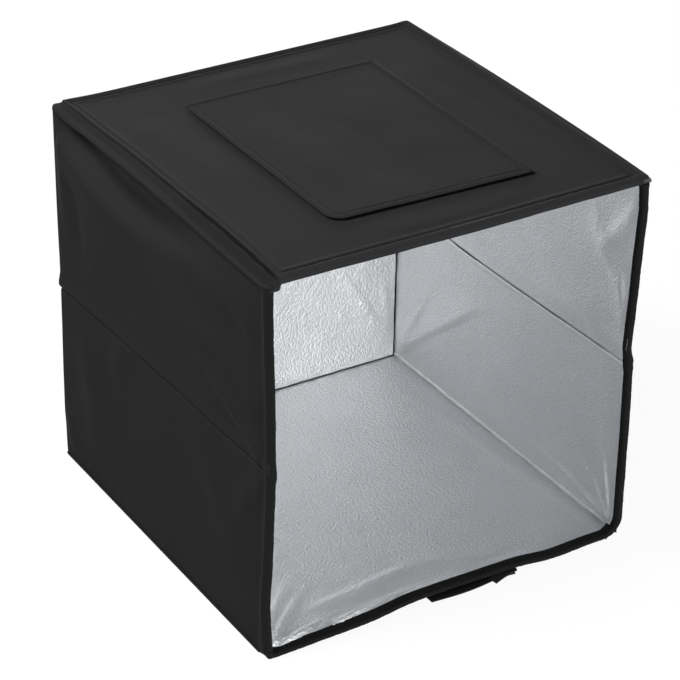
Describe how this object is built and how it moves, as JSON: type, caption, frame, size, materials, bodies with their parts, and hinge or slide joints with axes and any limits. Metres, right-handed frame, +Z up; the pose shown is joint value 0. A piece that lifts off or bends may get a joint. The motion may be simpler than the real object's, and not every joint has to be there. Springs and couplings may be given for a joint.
{
  "type": "light tent cube",
  "caption": "Fold-flat photo light box: silver-lined black fabric cube over stiff boards, open front, camera window with flap in the top, light bars under it.",
  "frame": {"origin": "middle of the floor's underside, on the surface that the cube stands on", "axes": "+Z up; the open front faces -Y, the back wall +Y; +X is the right side seen from the front"},
  "size_m": [0.4, 0.4184, 0.3964],
  "materials": {
    "skin": "smooth matt coated cloth with a soft sheen",
    "lining": "silver coated cloth with an embossed leather-like grain",
    "board": "matt foamed sheet",
    "tape": "fuzzy black loop tape",
    "aluminium": "drawn, satin",
    "led_board": "white solder mask with light chips",
    "plastic": "black moulded, fine grain"
  },
  "bodies": {
    "floor": {"floor_board": "board", "floor_skin": "skin", "floor_lining": "lining", "floor_binding": "tape", "floor_left_seam": "skin", "floor_right_seam": "skin", "floor_back_seam": "skin", "closure_strap": "tape", "closure_hook_pad": "tape"},
    "left_lower": {"left_lower_board": "board", "left_lower_skin": "skin", "left_lower_lining": "lining", "left_lower_binding": "tape"},
    "left_upper": {"left_upper_board": "board", "left_upper_skin": "skin", "left_upper_lining": "lining", "left_upper_binding": "tape"},
    "right_lower": {"right_lower_board": "board", "right_lower_skin": "skin", "right_lower_lining": "lining", "right_lower_binding": "tape"},
    "right_upper": {"right_upper_board": "board", "right_upper_skin": "skin", "right_upper_lining": "lining", "right_upper_binding": "tape"},
    "top": {"top_board": "board", "top_skin": "skin", "top_lining": "lining", "top_left_seam": "skin", "top_right_seam": "skin", "flap_seam": "skin", "window_loop_tape": "tape", "front_light_hook_tape": "tape", "front_light_channel": "aluminium", "front_light_leds": "led_board", "front_light_left_cap": "plastic", "front_light_right_cap": "plastic", "rear_light_hook_tape": "tape", "rear_light_channel": "aluminium", "rear_light_leds": "led_board", "rear_light_left_cap": "plastic", "rear_light_right_cap": "plastic"},
    "flap": {"flap_skin": "skin", "flap_lining": "lining", "flap_hook_tape": "tape"},
    "back": {"back_board": "board", "back_skin": "skin", "back_lining": "lining"}
  },
  "joints": [
    {"name": "left_floor_fold", "type": "hinge", "parent": "floor", "child": "left_lower", "pos_m": [-0.193, 0, 0.009], "axis": [0, 1, 0], "range_deg": [0, 90]},
    {"name": "left_mid_fold", "type": "hinge", "parent": "left_lower", "child": "left_upper", "pos_m": [-0.20015, 0, 0.1958], "axis": [0, 1, 0], "range_deg": [-180, 0]},
    {"name": "left_top_fold", "type": "hinge", "parent": "left_upper", "child": "top", "pos_m": [-0.193, 0, 0.3826], "axis": [0, 1, 0], "range_deg": [0, 90]},
    {"name": "right_floor_fold", "type": "hinge", "parent": "floor", "child": "right_lower", "pos_m": [0.193, 0, 0.009], "axis": [0, 1, 0], "range_deg": [-90, 0]},
    {"name": "right_mid_fold", "type": "hinge", "parent": "right_lower", "child": "right_upper", "pos_m": [0.20015, 0, 0.1958], "axis": [0, 1, 0], "range_deg": [0, 180]},
    {"name": "back_fold", "type": "hinge", "parent": "floor", "child": "back", "pos_m": [0, 0.20075, 0.0045], "axis": [1, 0, 0], "range_deg": [0, 90]},
    {"name": "flap_hinge", "type": "hinge", "parent": "top", "child": "flap", "pos_m": [0.1155, -0.002, 0.3956], "axis": [0, 1, 0], "range_deg": [0, 170]}
  ],
  "couplings": [
    {"joint": "left_mid_fold", "follows": "left_floor_fold", "ratio": -2},
    {"joint": "left_top_fold", "follows": "left_floor_fold", "ratio": 1},
    {"joint": "right_floor_fold", "follows": "left_floor_fold", "ratio": -1},
    {"joint": "right_mid_fold", "follows": "left_floor_fold", "ratio": 2}
  ]
}
